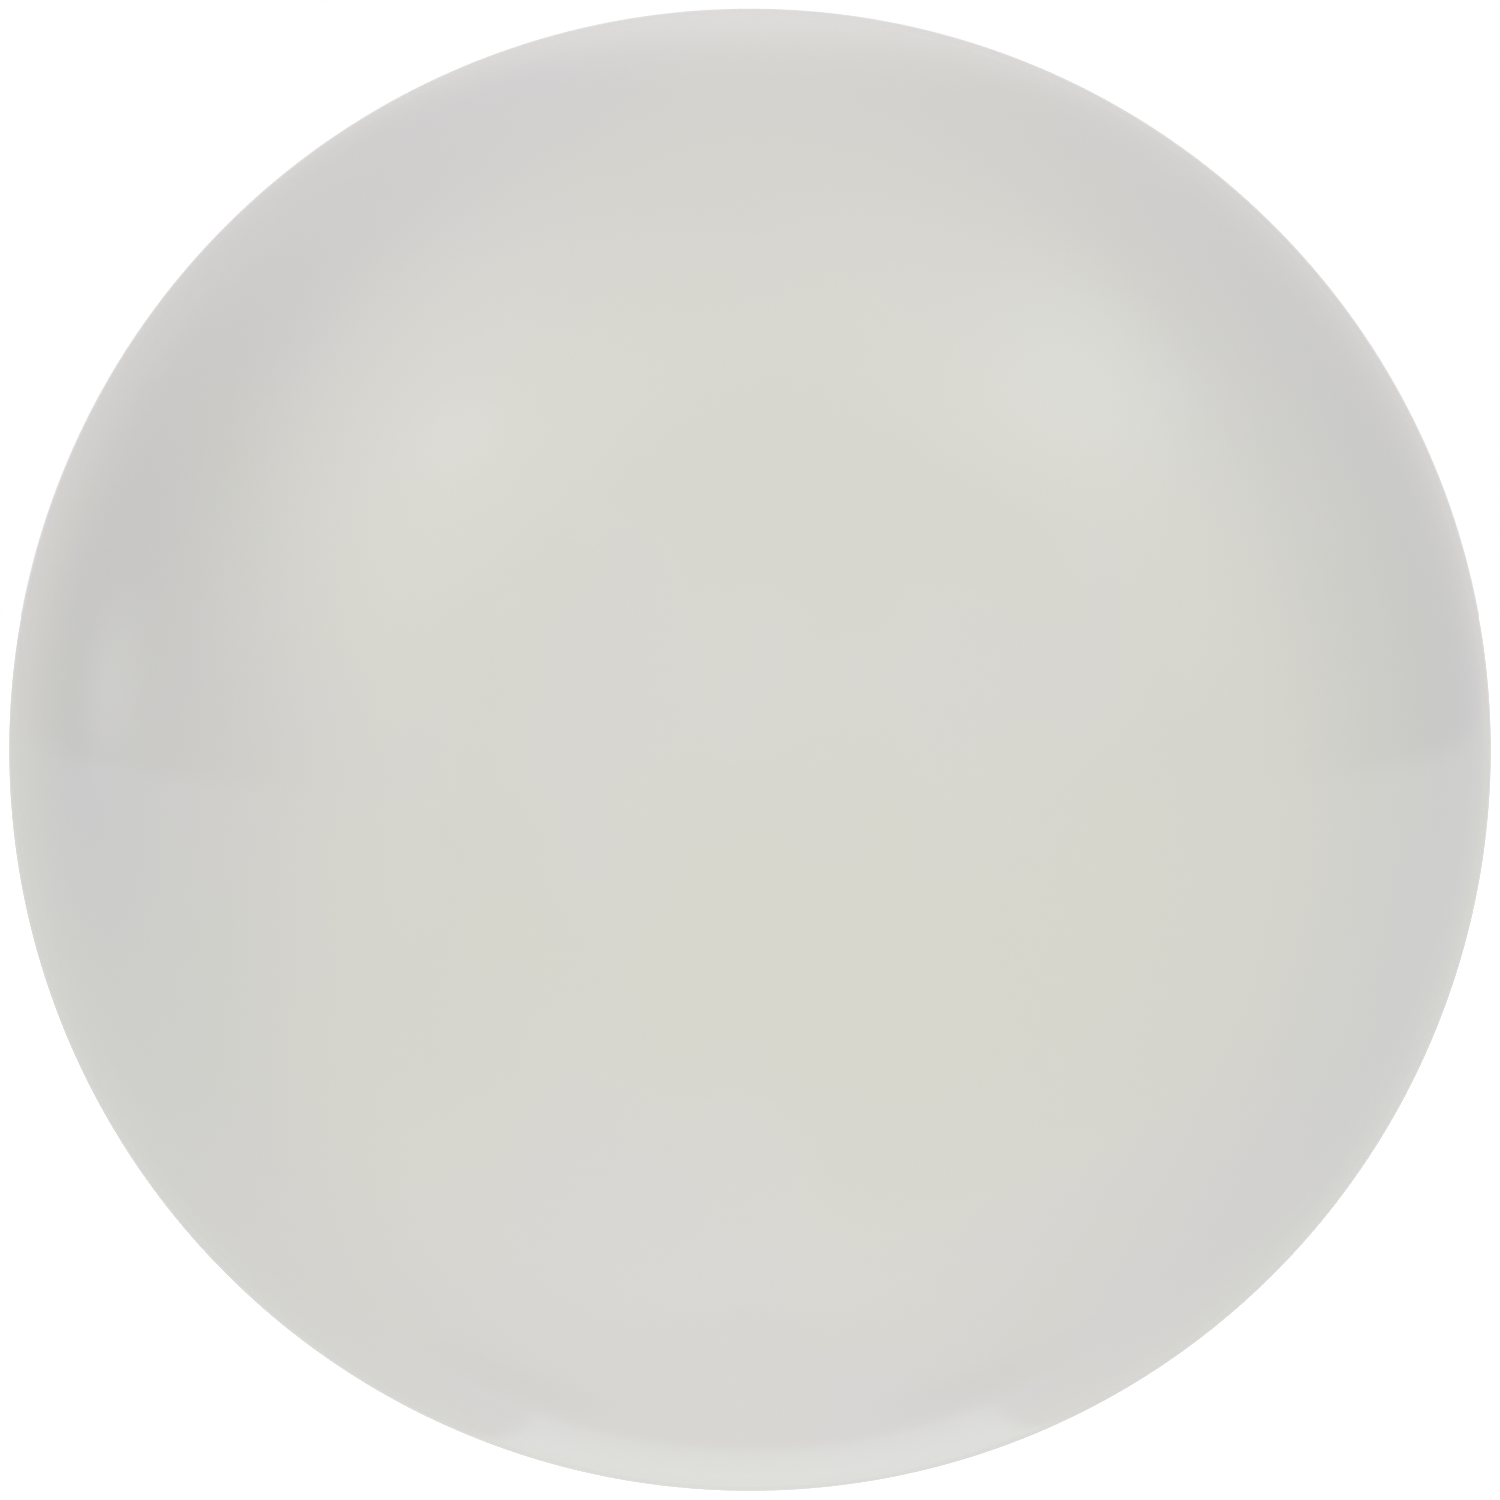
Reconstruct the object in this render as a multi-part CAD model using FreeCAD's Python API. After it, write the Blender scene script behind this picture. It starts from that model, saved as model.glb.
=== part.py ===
# A cue ball: one solid ball of cast phenolic resin, ground round and polished.
#
# The resin is poured in one go, and no core, shell, plug or inlay is set in it, so the whole
# object is a single node with a single solid. Its skin is the same resin, polished.
#
# Millimetres, +Z up. The origin is the ball's centre, about which it rolls and spins, so its
# lowest point, where it touches the cloth, is one radius below the origin on the Z axis.
import FreeCAD
import Part
import os

# Driving dimension: the regulation pool ball, 2 1/4 inches across.
BALL_DIAMETER = 57.15


def make_ball(diameter):
    """The cast ball: a true sphere about the origin, solid right through."""
    centre = FreeCAD.Vector(0, 0, 0)
    return Part.makeSphere(diameter / 2, centre)


def check_ball(ball, diameter):
    """Stops the build unless the ball is one closed solid of the stated size in every direction."""
    if len(ball.Solids) != 1 or not ball.isClosed() or not ball.isValid():
        raise RuntimeError("the ball has to be one valid, closed solid")
    box = ball.BoundBox
    for side in (box.XLength, box.YLength, box.ZLength):
        if abs(side - diameter) > 1e-6:
            raise RuntimeError(f"the ball is {side:.6f} mm across, and not {diameter} mm")


def main():
    os.makedirs("parts", exist_ok=True)
    ball = make_ball(BALL_DIAMETER)
    check_ball(ball, BALL_DIAMETER)
    ball.exportStep("parts/ball.step")
    print(f"ball: {BALL_DIAMETER} mm across, {ball.Volume / 1000:.2f} cm3")


main()
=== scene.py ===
"""A cue ball: one polished ball of cast resin, on a plain pale floor in the soft light of a studio tent."""

import math

import bpy
import numpy as np
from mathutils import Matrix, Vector


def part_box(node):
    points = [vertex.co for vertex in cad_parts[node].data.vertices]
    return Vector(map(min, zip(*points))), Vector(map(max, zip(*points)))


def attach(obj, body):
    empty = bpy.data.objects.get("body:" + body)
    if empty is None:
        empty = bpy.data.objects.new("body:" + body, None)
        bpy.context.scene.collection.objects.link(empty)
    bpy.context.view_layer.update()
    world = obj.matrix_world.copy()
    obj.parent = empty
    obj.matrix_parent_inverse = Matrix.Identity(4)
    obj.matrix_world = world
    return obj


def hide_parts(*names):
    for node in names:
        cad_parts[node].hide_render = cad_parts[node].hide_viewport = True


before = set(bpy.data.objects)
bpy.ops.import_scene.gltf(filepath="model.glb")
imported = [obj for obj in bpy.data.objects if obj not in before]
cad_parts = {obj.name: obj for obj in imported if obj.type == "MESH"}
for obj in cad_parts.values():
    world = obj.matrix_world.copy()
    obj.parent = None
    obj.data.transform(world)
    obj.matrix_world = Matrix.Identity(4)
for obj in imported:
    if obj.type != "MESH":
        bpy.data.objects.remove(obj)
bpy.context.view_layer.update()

bl_info = {
    "name": "Cue Ball",
    "version": (1, 0, 0),
    "blender": (4, 5, 0),
    "location": "3D View > Sidebar > Cue Ball",
    "description": "Makes a polished cast resin cue ball and the studio tent that lights it",
    "category": "Add Mesh",
}

CAD_NODE = "ball"
CAD_BODY = "root"
BAKE_MAP = "OFBake"

NODE_LOW, NODE_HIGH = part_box(CAD_NODE)
FRAME_DIAMETER = max(NODE_HIGH - NODE_LOW)
MICRON = 1e-6

WHITE = (1.0, 1.0, 1.0)
BLACK = (0.0, 0.0, 0.0)


# ---------------------------------------------------------------- settings


def colour(name, text, default, brightest=1.0):
    """A linear RGB colour that a user may set."""
    return bpy.props.FloatVectorProperty(
        name=name,
        description=text,
        default=default,
        size=3,
        subtype="COLOR",
        min=0.0,
        max=brightest,
    )


def light(name, text, default):
    """The colour and brightness of a light, where 1 is as bright as the picture's white."""
    return colour(name, text, default, brightest=10.0)


def length(name, text, default):
    """A length in metres that a user may set."""
    return bpy.props.FloatProperty(name=name, description=text, default=default, min=0.0, unit="LENGTH")


def angle(name, text, degrees):
    """An angle that a user may set, given here in degrees."""
    default = math.radians(degrees)
    return bpy.props.FloatProperty(name=name, description=text, default=default, subtype="ANGLE")


def place(name, text, bearing, height, wide, tall):
    """An oval region of the tent that a user may set: its middle, and how far it reaches each way.

    All four are angles seen from the ball, given here in degrees. The bearing is 0 towards the camera, 180
    towards the back wall, and negative on the left. The height is above the horizon.
    """
    return bpy.props.FloatVectorProperty(
        name=name,
        description=text,
        default=[math.radians(degrees) for degrees in (bearing, height, wide, tall)],
        size=4,
        unit="ROTATION",
    )


def share(name, text, default, most=1.0):
    """A plain number that a user may set."""
    return bpy.props.FloatProperty(name=name, description=text, default=default, min=0.0, max=most)


class CueBallSettings(bpy.types.PropertyGroup):
    """Size and finish of the ball."""

    diameter: length("Diameter", "Width of the ball through its centre", FRAME_DIAMETER)
    patch_steps: bpy.props.IntProperty(
        name="Steps per patch",
        description="Squares along each side of the six patches",
        default=128,
        min=4,
        max=128,
    )
    body_colour: colour("Resin", "Colour of the resin right through the ball", (0.80, 0.789, 0.729))
    cloud_colour: colour("Cloud", "Colour of the faint clouds left by the pour", (0.80, 0.785, 0.754))
    cloud_size: length("Cloud size", "Width of a cloud in the resin", 0.016)
    cloud_pattern: share("Cloud pattern", "Picks one of the patterns of clouds", 35.7, most=100.0)
    refractive_index: share("Refractive index", "How strongly the cured resin bends light", 1.6, most=3.0)
    polish: share("Polish roughness", "Roughness of the best polished skin", 0.07)
    haze: share("Polish haze", "Roughness that worn and smeared areas add", 0.03)
    hairline_depth: length("Hairline depth", "Depth of the finest polishing scratches", 0.25 * MICRON)


class CueBallStageSettings(bpy.types.PropertyGroup):
    """The floor, the tent of white cloth round it, and the camera."""

    floor_radius: length("Floor radius", "From the ball to the floor's edge", 0.50)
    floor_colour: colour("Floor", "Colour of the pale floor", (0.80, 0.80, 0.80))
    floor_lift: share("Floor lift", "Light that shines up through the floor", 0.80)

    wall: light("Wall", "Light from the cloth walls", (0.83, 0.82, 0.79))
    roof: light("Roof", "Light from the cloth roof", (0.71, 0.70, 0.72))
    floor: light("Floor glow", "Light from the floor further out", (0.83, 0.84, 0.78))
    under: light("Underneath", "Light from the floor right under the ball", (0.99, 0.98, 1.08))
    far_share: colour("Far share", "Share of the light that is left at the back", (0.86, 0.85, 0.88))
    crease_place: place("Crease place", "Dark creases by the panel's two front corners", 153, -52, 5, 5)
    crease_share: share("Crease share", "Share of the light that is lost in the creases", 0.19)
    panel: light("Low panel", "Added light from the lit panel low down behind the ball", (0.17, 0.20, 0.19))

    left_gap_place: place("Left gap place", "Where the walls leave a gap on the left", -104, 4, 30, 35)
    left_gap: light("Left gap", "Light from the room through the left gap", (0.13, 0.15, 0.23))
    left_gap_floor: light("Left gap floor", "Light from the floor below that gap", (0.39, 0.42, 0.60))
    right_gap_place: place("Right gap place", "Where the walls leave a gap on the right", 120, -6, 24, 48)
    right_gap: light("Right gap", "Light from the room through the right gap", (0.29, 0.31, 0.43))
    right_gap_floor: light("Right gap floor", "Light from the floor below that gap", (0.55, 0.57, 0.70))
    slit_place: place("Slit place", "Where light gets past the cloth in the left gap", -117, 3, 7, 5.5)
    slit: light("Slit", "Added light that gets past the cloth in the left gap", (0.43, 0.43, 0.44))

    left_lamp_place: place("Left lamp place", "Where the left lamp lights the cloth", -72, 38, 22, 22)
    left_lamp: light("Left lamp", "Added light round the left lamp", (0.68, 0.71, 0.72))
    left_core_place: place("Left core place", "Middle of the left lamp", -64.5, 45, 6.5, 5.5)
    left_core: light("Left core", "Added light in the middle of the left lamp", (0.30, 0.30, 0.36))
    right_lamp_place: place("Right lamp place", "Where the right lamp lights the cloth", 80, 44, 19, 22)
    right_lamp: light("Right lamp", "Added light round the right lamp", (0.33, 0.38, 0.43))
    right_core_place: place("Right core place", "Middle of the right lamp", 81, 48, 16, 10)
    right_core: light("Right core", "Added light in the middle of the right lamp", (0.51, 0.54, 0.56))
    back_glow_place: place("Back glow place", "Where the lamps light the back wall", 180, 28.5, 8, 16)
    back_glow: light("Back glow", "Added light from the back wall", (0.21, 0.21, 0.20))

    camera_lens: share("Lens", "Focal length in millimetres", 300.0, most=1000.0)
    camera_elevation: angle("Elevation", "How far above the horizon the camera stands", 4.5)
    camera_fill: share("Fill", "Share of the picture's width that the ball takes up", 0.9883)


# ---------------------------------------------------------------- node maths


class Wire:
    """One value on its way through a shader. Python's own operators add the Math nodes for it."""

    def __init__(self, board, socket):
        self.board = board
        self.socket = socket

    def maths(self, operation, first, second=0.0):
        return self.board.add("ShaderNodeMath", {"operation": operation}, {0: first, 1: second}, "Value")

    def __add__(self, other):
        return self.maths("ADD", self, other)

    def __radd__(self, other):
        return self.maths("ADD", other, self)

    def __sub__(self, other):
        return self.maths("SUBTRACT", self, other)

    def __rsub__(self, other):
        return self.maths("SUBTRACT", other, self)

    def __mul__(self, other):
        return self.maths("MULTIPLY", self, other)

    def __rmul__(self, other):
        return self.maths("MULTIPLY", other, self)

    def __truediv__(self, other):
        return self.maths("DIVIDE", self, other)

    def __pow__(self, other):
        return self.maths("POWER", self, other)

    def __neg__(self):
        return self.maths("MULTIPLY", self, -1.0)

    def __abs__(self):
        return self.maths("ABSOLUTE", self)

    def at_least(self, low):
        return self.maths("MAXIMUM", self, low)

    def arctangent(self, other):
        """The angle whose tangent is this wire over the other, all the way round."""
        return self.maths("ARCTAN2", self, other)

    def arcsine(self):
        return self.maths("ARCSINE", self)

    def rise(self, low, high):
        """The step from one angle to another, both in degrees, for a wire that holds an angle."""
        return self.step(math.radians(low), math.radians(high))

    def step(self, low, high):
        """0 below low, 1 above high, and a smooth S between them."""
        return self.board.add(
            "ShaderNodeMapRange",
            {"interpolation_type": "SMOOTHSTEP"},
            {"Value": self, "From Min": low, "From Max": high, "To Min": 0.0, "To Max": 1.0},
            "Result",
        )


class Board:
    """A node tree that is being wired up."""

    def __init__(self, tree):
        self.tree = tree
        tree.nodes.clear()

    def add(self, kind, settings, inputs, output):
        """Adds a node: its settings first, then the values and links of its sockets. Returns one output."""
        node = self.tree.nodes.new(kind)
        for name, value in settings.items():
            setattr(node, name, value)
        for key, value in inputs.items():
            socket = self.find(node.inputs, key)
            if isinstance(value, Wire):
                self.tree.links.new(value.socket, socket)
            else:
                socket.default_value = value
        return Wire(self, self.find(node.outputs, output)) if output is not None else None

    @staticmethod
    def find(sockets, key):
        """A socket by its number, its identifier or its name."""
        if isinstance(key, int):
            return sockets[key]
        for socket in sockets:
            if socket.identifier == key:
                return socket
        return sockets[key]

    def split(self, vector):
        """The three numbers of a vector, each as a wire."""
        node = self.add("ShaderNodeSeparateXYZ", {}, {"Vector": vector}, "X").socket.node
        return [Wire(self, node.outputs[axis]) for axis in "XYZ"]

    def mix(self, mask, first, second):
        """first where mask is 0 and second where it is 1, as colours."""
        return self.add(
            "ShaderNodeMix",
            {"data_type": "RGBA"},
            {"Factor_Float": mask, "A_Color": opaque(first), "B_Color": opaque(second)},
            "Result_Color",
        )

    def glow(self, tint, mask):
        """tint times mask, as a colour."""
        return self.mix(mask, BLACK, tint)

    def sum(self, first, second):
        """Two colours added."""
        return self.add("ShaderNodeVectorMath", {"operation": "ADD"}, {0: first, 1: second}, "Vector")

    def product(self, first, second):
        """Two colours multiplied."""
        return self.add("ShaderNodeVectorMath", {"operation": "MULTIPLY"}, {0: first, 1: second}, "Vector")


def opaque(value):
    """An RGB triple with an alpha of 1, or the wire itself."""
    return value if isinstance(value, Wire) else (*value, 1.0)


# ---------------------------------------------------------------- the ball

# The six patches of the ball: the way each faces, and the two ways its grid runs. The second and the
# third turn right-handed about the first, so every patch faces outwards.
PATCHES = [
    ((1, 0, 0), (0, 1, 0), (0, 0, 1)),
    ((-1, 0, 0), (0, 0, 1), (0, 1, 0)),
    ((0, 1, 0), (0, 0, 1), (1, 0, 0)),
    ((0, -1, 0), (1, 0, 0), (0, 0, 1)),
    ((0, 0, 1), (1, 0, 0), (0, 1, 0)),
    ((0, 0, -1), (0, 1, 0), (1, 0, 0)),
]
ATLAS_COLUMNS, ATLAS_ROWS = 3, 2
ATLAS_MARGIN = 0.02


def ball_surface(radius, steps):
    """The sphere as six square patches, like a cube blown up round.

    Two numbers i and j run over each patch in whole steps. Every grid point is first a whole-numbered
    place on a cube's skin, which patches share along their edges, so shared points are found exactly
    and kept once. Each whole number then becomes an angle from -45 to 45 degrees, the point's three
    coordinates are the tangents of its three angles, and the point is pushed out or in along its own
    line from the centre until it is one radius away. Returns points, squares and map coordinates.
    """
    i, j = np.meshgrid(np.arange(steps + 1), np.arange(steps + 1), indexing="ij")
    facing, across, along = (np.array(ways) for ways in zip(*PATCHES))
    places = (
        facing[:, None, None, :] * steps
        + across[:, None, None, :] * (2 * i - steps)[None, :, :, None]
        + along[:, None, None, :] * (2 * j - steps)[None, :, :, None]
    )
    lattice, which = np.unique(places.reshape(-1, 3), axis=0, return_inverse=True)
    rays = np.tan(lattice / steps * math.radians(45))
    points = rays / np.linalg.norm(rays, axis=1, keepdims=True) * radius

    number = which.reshape(len(PATCHES), steps + 1, steps + 1)
    corners = [number[:, :-1, :-1], number[:, 1:, :-1], number[:, 1:, 1:], number[:, :-1, 1:]]
    squares = np.stack(corners, axis=-1).reshape(-1, 4)

    patch = np.arange(len(PATCHES))[:, None, None]
    inner = 1 - 2 * ATLAS_MARGIN
    across_map = (patch % ATLAS_COLUMNS + ATLAS_MARGIN + inner * i[None] / steps) / ATLAS_COLUMNS
    along_map = (patch // ATLAS_COLUMNS + ATLAS_MARGIN + inner * j[None] / steps) / ATLAS_ROWS
    spots = np.stack([across_map, along_map], axis=-1)
    corner_spots = [spots[:, :-1, :-1], spots[:, 1:, :-1], spots[:, 1:, 1:], spots[:, :-1, 1:]]
    return points, squares, np.stack(corner_spots, axis=-2).reshape(-1, 2)


def floor_surface(radius, height, rings, spokes):
    """A flat disc, facing up.

    The distance out grows in even steps along one way of the grid, and the angle goes once round along the
    other. A point is the distance times the cosine and the sine of the angle, at the given height. One
    point in the middle closes the disc with triangles. Returns points, squares and triangles.
    """
    distances = np.linspace(0, radius, rings + 1)[1:]
    angles = np.linspace(0, math.tau, spokes, endpoint=False)
    out, turn = np.meshgrid(distances, angles, indexing="ij")
    ring_points = np.stack([out * np.cos(turn), out * np.sin(turn), np.full_like(out, height)], axis=-1)
    points = np.vstack([[(0.0, 0.0, height)], ring_points.reshape(-1, 3)])
    number = np.arange(rings * spokes).reshape(rings, spokes) + 1
    after = np.roll(number, -1, axis=1)
    squares = np.stack([number[:-1], number[1:], after[1:], after[:-1]], axis=-1).reshape(-1, 4)
    middle = np.stack([np.zeros(spokes, int), number[0], after[0]], axis=-1)
    return points, squares, middle


def new_mesh(name, points, *face_sets):
    """A mesh object at the origin from points and arrays of faces, each array with one kind of face."""
    mesh = bpy.data.meshes.new(name)
    loops = np.concatenate([faces.ravel() for faces in face_sets])
    sizes = np.concatenate([np.full(len(faces), faces.shape[1]) for faces in face_sets])
    mesh.vertices.add(len(points))
    mesh.vertices.foreach_set("co", points.ravel())
    mesh.loops.add(len(loops))
    mesh.loops.foreach_set("vertex_index", loops)
    mesh.polygons.add(len(sizes))
    mesh.polygons.foreach_set("loop_start", np.cumsum(sizes) - sizes)
    mesh.polygons.foreach_set("use_smooth", np.ones(len(sizes), bool))
    mesh.update(calc_edges=True)
    mesh.validate()
    piece = bpy.data.objects.new(name, mesh)
    bpy.context.scene.collection.objects.link(piece)
    return piece


# Each edge is on its noise's own scale from 0 to 1: where one tint of the resin gives way to the other,
# where a smear begins and is full, and where a hairline begins and is at its deepest. The detail is how
# many finer noises are laid over the first.
CLOUD_EDGE = (0.42, 0.60)
CLOUD_DETAIL = 3.0
SMEAR_EDGE = (0.35, 0.75)
SMEAR_DETAIL = 4.0
SMEAR_SIZE = 0.011
HAIRLINE_EDGE = (0.64, 0.72)
HAIRLINE_DETAIL = 2.0
HAIRLINE_LENGTH = 0.010

# A hairline is this many times as long as it is wide. Each set of hairlines is turned by three angles.
HAIRLINE_THINNESS = 26.0
HAIRLINE_TURNS = ((0.3, 0.9, 0.2), (1.4, 0.2, 1.1), (2.3, 1.7, 0.6))


def resin_material(ball):
    """Polished cast resin: ivory white with faint clouds from the pour, smears of haze and hairlines.

    Clouds and smears are smooth steps over noise in the ball's own space. The hairlines are three such
    noises, each squeezed thin across one way and turned to its own angle, and added up as a height.
    """
    material = bpy.data.materials.new("polished_cast_resin")
    material.use_nodes = True
    board = Board(material.node_tree)
    place = board.add("ShaderNodeTexCoord", {}, {}, "Object")

    def noise(size, detail, at=place, pattern=0.0):
        return board.add(
            "ShaderNodeTexNoise",
            {"noise_dimensions": "4D", "normalize": True},
            {"Vector": at, "W": pattern, "Scale": 1.0 / size, "Detail": detail},
            "Fac",
        )

    clouds = noise(ball.cloud_size, CLOUD_DETAIL, pattern=ball.cloud_pattern).step(*CLOUD_EDGE)
    tint = board.mix(clouds, ball.body_colour, ball.cloud_colour)
    smears = noise(SMEAR_SIZE, SMEAR_DETAIL).step(*SMEAR_EDGE)
    roughness = smears * ball.haze + ball.polish

    hairlines = 0.0
    for turn in HAIRLINE_TURNS:
        turned = board.add(
            "ShaderNodeMapping",
            {"vector_type": "POINT"},
            {"Vector": place, "Rotation": turn, "Scale": (1.0, HAIRLINE_THINNESS, 1.0)},
            "Vector",
        )
        hairlines = hairlines + noise(HAIRLINE_LENGTH, HAIRLINE_DETAIL, at=turned).step(*HAIRLINE_EDGE)
    bump = board.add(
        "ShaderNodeBump",
        {"invert": True},
        {"Strength": 1.0, "Distance": ball.hairline_depth, "Height": hairlines},
        "Normal",
    )

    surface = board.add(
        "ShaderNodeBsdfPrincipled",
        {},
        {
            "Base Color": tint,
            "Roughness": roughness,
            "IOR": ball.refractive_index,
            "Normal": bump,
        },
        "BSDF",
    )
    board.add("ShaderNodeOutputMaterial", {}, {"Surface": surface}, None)
    return material


# ---------------------------------------------------------------- the stage

# Between these angles, in degrees, one part of the tent blends into the next. The first three are heights
# above the horizon, and the fourth is the turn from the camera's side.
FLOOR_TO_WALL = (-4.3, -2.3)
WALL_TO_ROOF = (7, 54)
UNDER_TO_FLOOR = (-90, -20)
FRONT_TO_BACK = (84, 152)

# How much of an oval's size its edge is spread over, inwards and outwards.
LEFT_GAP_SOFTNESS = 0.7
RIGHT_GAP_SOFTNESS = 0.9

# The low panel lies flat, low down behind the ball. Its sizes are shares of how far it is below the ball's
# centre: how far its middle line is to the right, from where to where each side softens, and the same for
# its front edge. It fades out with distance between two heights in degrees. The least depth keeps level
# and upward directions from dividing by zero or less.
PANEL_MIDDLE = 0.02
PANEL_SIDE = (0.30, 0.34)
PANEL_FRONT = (0.88, 1.05)
PANEL_FADE = (-35, -9)
LEAST_DEPTH = 0.02

FLOOR_RINGS = 8
FLOOR_SPOKES = 128

# The camera shows what lies from a twentieth of its distance from the ball to twenty times it.
CLIP_REACH = 20


def floor_material(stage):
    """The pale floor: matt, and with light shining up through it, so bright that no shadow shows on it."""
    material = bpy.data.materials.new("pale_floor")
    material.use_nodes = True
    board = Board(material.node_tree)
    matt = board.add("ShaderNodeBsdfDiffuse", {}, {"Color": opaque(stage.floor_colour)}, "BSDF")
    lift = board.add(
        "ShaderNodeEmission",
        {},
        {"Color": opaque(WHITE), "Strength": stage.floor_lift},
        "Emission",
    )
    both = board.add("ShaderNodeAddShader", {}, {0: matt, 1: lift}, "Shader")
    board.add("ShaderNodeOutputMaterial", {}, {"Surface": both}, None)
    return material


def tent_light(stage):
    """The light that reaches the ball from all round, worked out from its direction alone.

    bearing is the angle round from the camera's side, negative on the left, turn is the same without its
    sign, and height is the angle above the horizon. Each part of the tent is mixed over the last one
    where its own soft mask is 1. An oval's mask falls in a smooth S with reach, the root of the summed
    squares of the two distances from its middle, each as a share of its own size.
    """
    world = bpy.data.worlds.new("studio_tent")
    world.use_nodes = True
    bpy.context.scene.world = world
    board = Board(world.node_tree)
    way = board.add("ShaderNodeTexCoord", {}, {}, "Generated")
    x, y, z = board.split(way)
    level = (x * x + y * y) ** 0.5
    bearing = x.arctangent(-y)
    turn = abs(bearing)
    height = z.arcsine()

    def oval(around, region, soft=1.0):
        middle, above, wide, tall = region
        across = (around - middle) * level / wide
        along = (height - above) / tall
        reach = (across * across + along * along) ** 0.5
        return 1 - reach.step(1 - soft, 1 + soft)

    above_floor = height.rise(*FLOOR_TO_WALL)
    tent = board.mix(above_floor, stage.floor, stage.wall)
    tent = board.mix(height.rise(*WALL_TO_ROOF), tent, stage.roof)
    tent = board.mix(1 - height.rise(*UNDER_TO_FLOOR), tent, stage.under)
    tent = board.product(tent, board.mix(turn.rise(*FRONT_TO_BACK), WHITE, stage.far_share))

    left_gap = board.mix(above_floor, stage.left_gap_floor, stage.left_gap)
    tent = board.mix(oval(bearing, stage.left_gap_place, LEFT_GAP_SOFTNESS), tent, left_gap)
    right_gap = board.mix(above_floor, stage.right_gap_floor, stage.right_gap)
    tent = board.mix(oval(bearing, stage.right_gap_place, RIGHT_GAP_SOFTNESS), tent, right_gap)
    tent = board.mix(oval(turn, stage.crease_place) * stage.crease_share, tent, BLACK)

    depth = (-z).at_least(LEAST_DEPTH)
    panel_sides = 1 - abs(x / depth - PANEL_MIDDLE).step(*PANEL_SIDE)
    panel_front = (y / depth).step(*PANEL_FRONT)
    panel = panel_sides * panel_front * (1 - height.rise(*PANEL_FADE))
    for mask, added in (
        (oval(bearing, stage.slit_place), stage.slit),
        (oval(bearing, stage.left_lamp_place), stage.left_lamp),
        (oval(bearing, stage.left_core_place), stage.left_core),
        (oval(bearing, stage.right_lamp_place), stage.right_lamp),
        (oval(bearing, stage.right_core_place), stage.right_core),
        (oval(turn, stage.back_glow_place), stage.back_glow),
        (panel, stage.panel),
    ):
        tent = board.sum(tent, board.glow(added, mask))

    seen = board.add("ShaderNodeLightPath", {}, {}, "Is Camera Ray")
    shown = board.mix(seen, tent, WHITE)
    background = board.add("ShaderNodeBackground", {}, {"Color": shown, "Strength": 1.0}, "Background")
    board.add("ShaderNodeOutputWorld", {}, {"Surface": background}, None)


def stage_camera(stage, radius):
    """A long lens at the stage's elevation, as far off as makes the ball fill its share of the picture."""
    camera = bpy.data.objects.new("camera", bpy.data.cameras.new("camera"))
    bpy.context.scene.collection.objects.link(camera)
    lens = camera.data
    lens.lens = stage.camera_lens
    half_view = math.atan(stage.camera_fill * lens.sensor_width / 2 / lens.lens)
    away = radius / math.sin(half_view)
    back = Vector((0.0, -math.cos(stage.camera_elevation), math.sin(stage.camera_elevation)))
    camera.location = back * away
    camera.rotation_mode = "QUATERNION"
    camera.rotation_quaternion = (-back).to_track_quat("-Z", "Y")
    lens.clip_start = away / CLIP_REACH
    lens.clip_end = away * CLIP_REACH
    bpy.context.scene.camera = camera


# ---------------------------------------------------------------- operators


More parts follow.
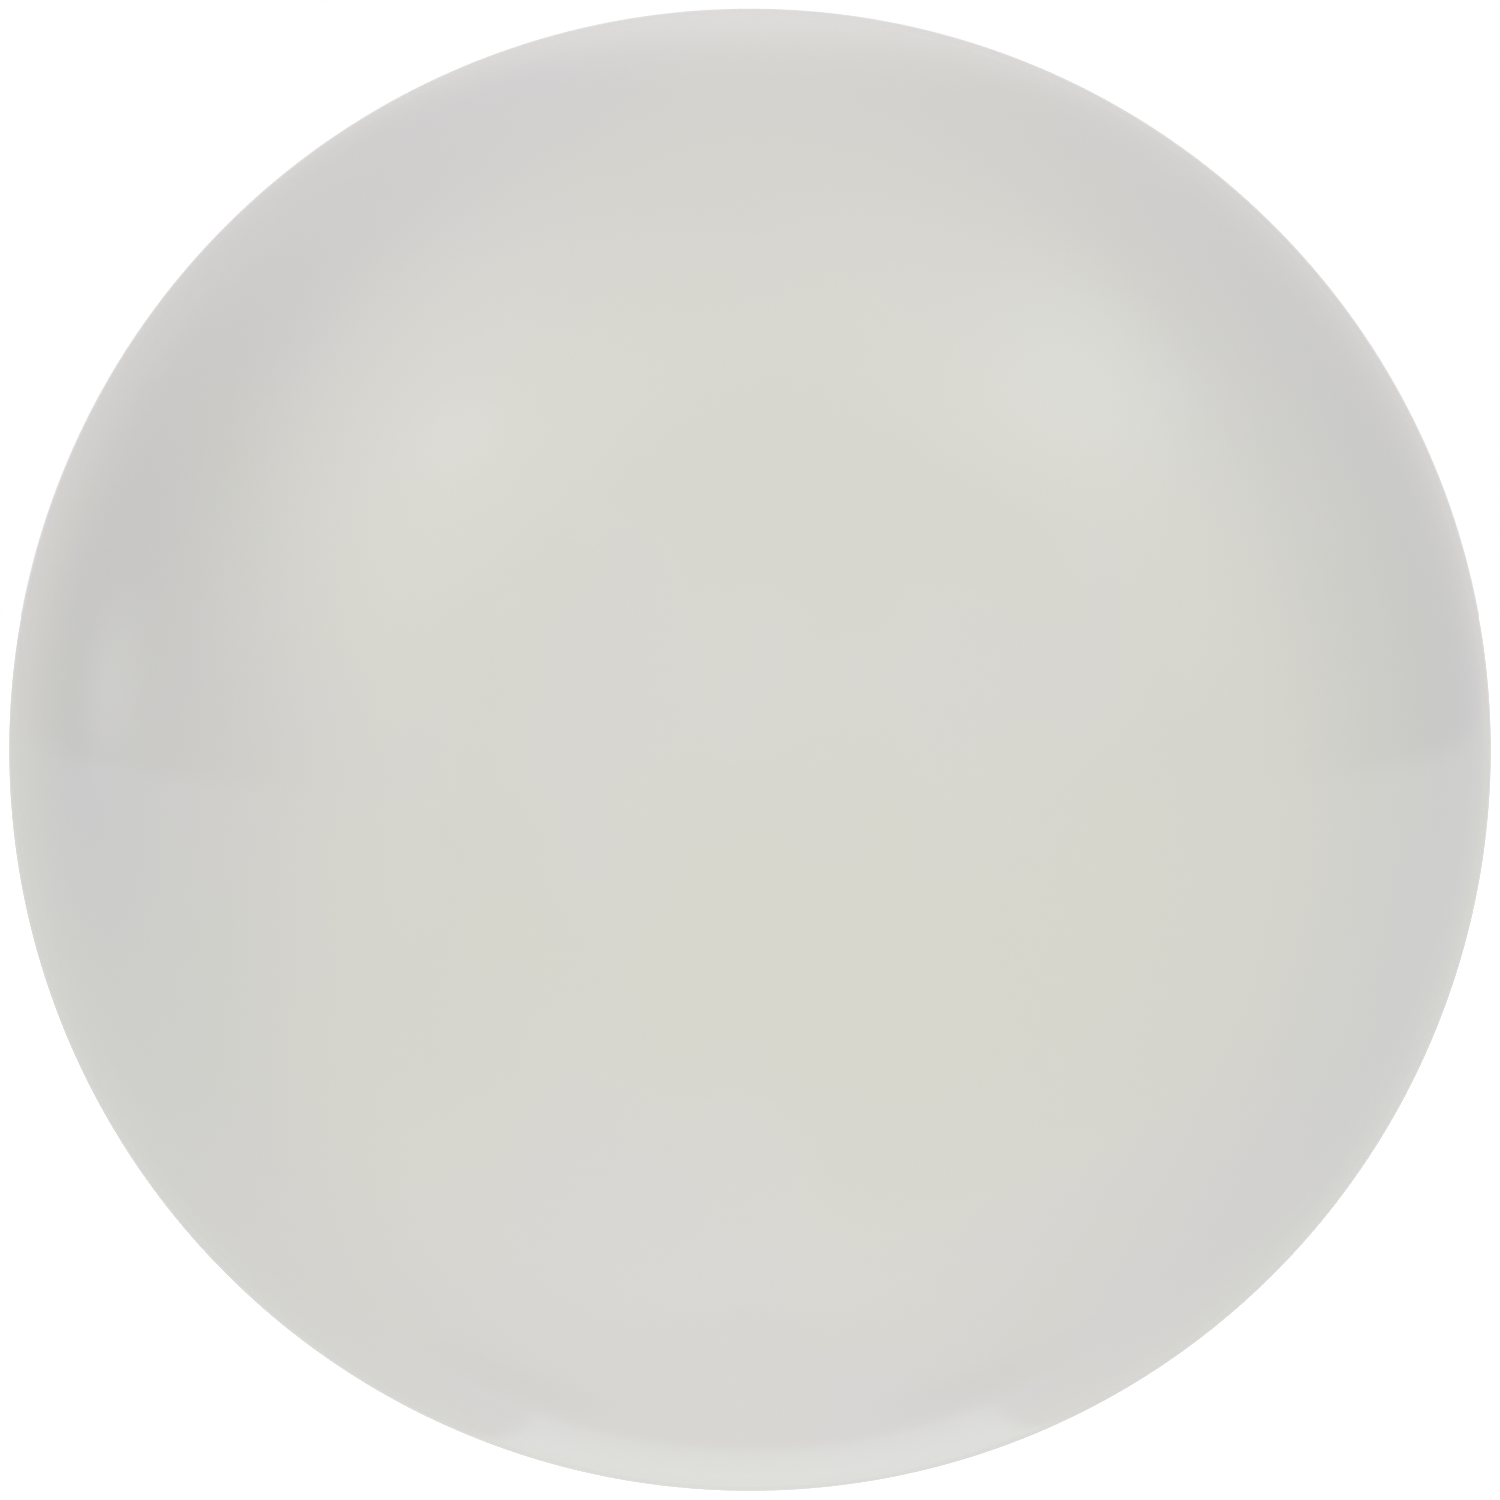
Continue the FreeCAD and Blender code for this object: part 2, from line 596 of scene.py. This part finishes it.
class CUEBALL_OT_make_ball(bpy.types.Operator):
    """Makes the ball in its polished resin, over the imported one"""

    bl_idname = "cueball.make_ball"
    bl_label = "Make ball"

    def execute(self, context):
        settings = context.scene.cue_ball
        points, squares, spots = ball_surface(settings.diameter / 2, settings.patch_steps)
        ball = new_mesh("cue_ball", points, squares)
        ball.data.uv_layers.new(name=BAKE_MAP).data.foreach_set("uv", spots.ravel())
        ball.data.materials.append(resin_material(settings))
        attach(ball, CAD_BODY)
        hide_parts(CAD_NODE)
        return {"FINISHED"}


class CUEBALL_OT_make_stage(bpy.types.Operator):
    """Makes the floor, the light and the camera"""

    bl_idname = "cueball.make_stage"
    bl_label = "Make stage"

    def execute(self, context):
        settings = context.scene.cue_ball_stage
        radius = context.scene.cue_ball.diameter / 2
        floor = new_mesh("floor", *floor_surface(settings.floor_radius, -radius, FLOOR_RINGS, FLOOR_SPOKES))
        floor.data.materials.append(floor_material(settings))
        # The tent's light already holds what the floor sends back, so only the camera meets the disc.
        floor.visible_diffuse = False
        floor.visible_glossy = False
        floor.visible_shadow = False
        tent_light(settings)
        stage_camera(settings, radius)
        context.scene.view_settings.view_transform = "Standard"
        return {"FINISHED"}


class CUEBALL_PT_sidebar(bpy.types.Panel):
    """The cue ball's panel in the 3D view's sidebar"""

    bl_idname = "CUEBALL_PT_sidebar"
    bl_label = "Cue Ball"
    bl_space_type = "VIEW_3D"
    bl_region_type = "UI"
    bl_category = "Cue Ball"

    def draw(self, context):
        for settings, operator in (
            (context.scene.cue_ball, CUEBALL_OT_make_ball),
            (context.scene.cue_ball_stage, CUEBALL_OT_make_stage),
        ):
            box = self.layout.box()
            for name in settings.__annotations__:
                box.prop(settings, name)
            box.operator(operator.bl_idname)


CLASSES = (
    CueBallSettings,
    CueBallStageSettings,
    CUEBALL_OT_make_ball,
    CUEBALL_OT_make_stage,
    CUEBALL_PT_sidebar,
)


def register():
    for each in CLASSES:
        bpy.utils.register_class(each)
    bpy.types.Scene.cue_ball = bpy.props.PointerProperty(type=CueBallSettings)
    bpy.types.Scene.cue_ball_stage = bpy.props.PointerProperty(type=CueBallStageSettings)


def unregister():
    del bpy.types.Scene.cue_ball_stage
    del bpy.types.Scene.cue_ball
    for each in reversed(CLASSES):
        bpy.utils.unregister_class(each)


def main():
    register()
    bpy.ops.cueball.make_ball()
    bpy.ops.cueball.make_stage()


if __name__ == "__main__":
    main()
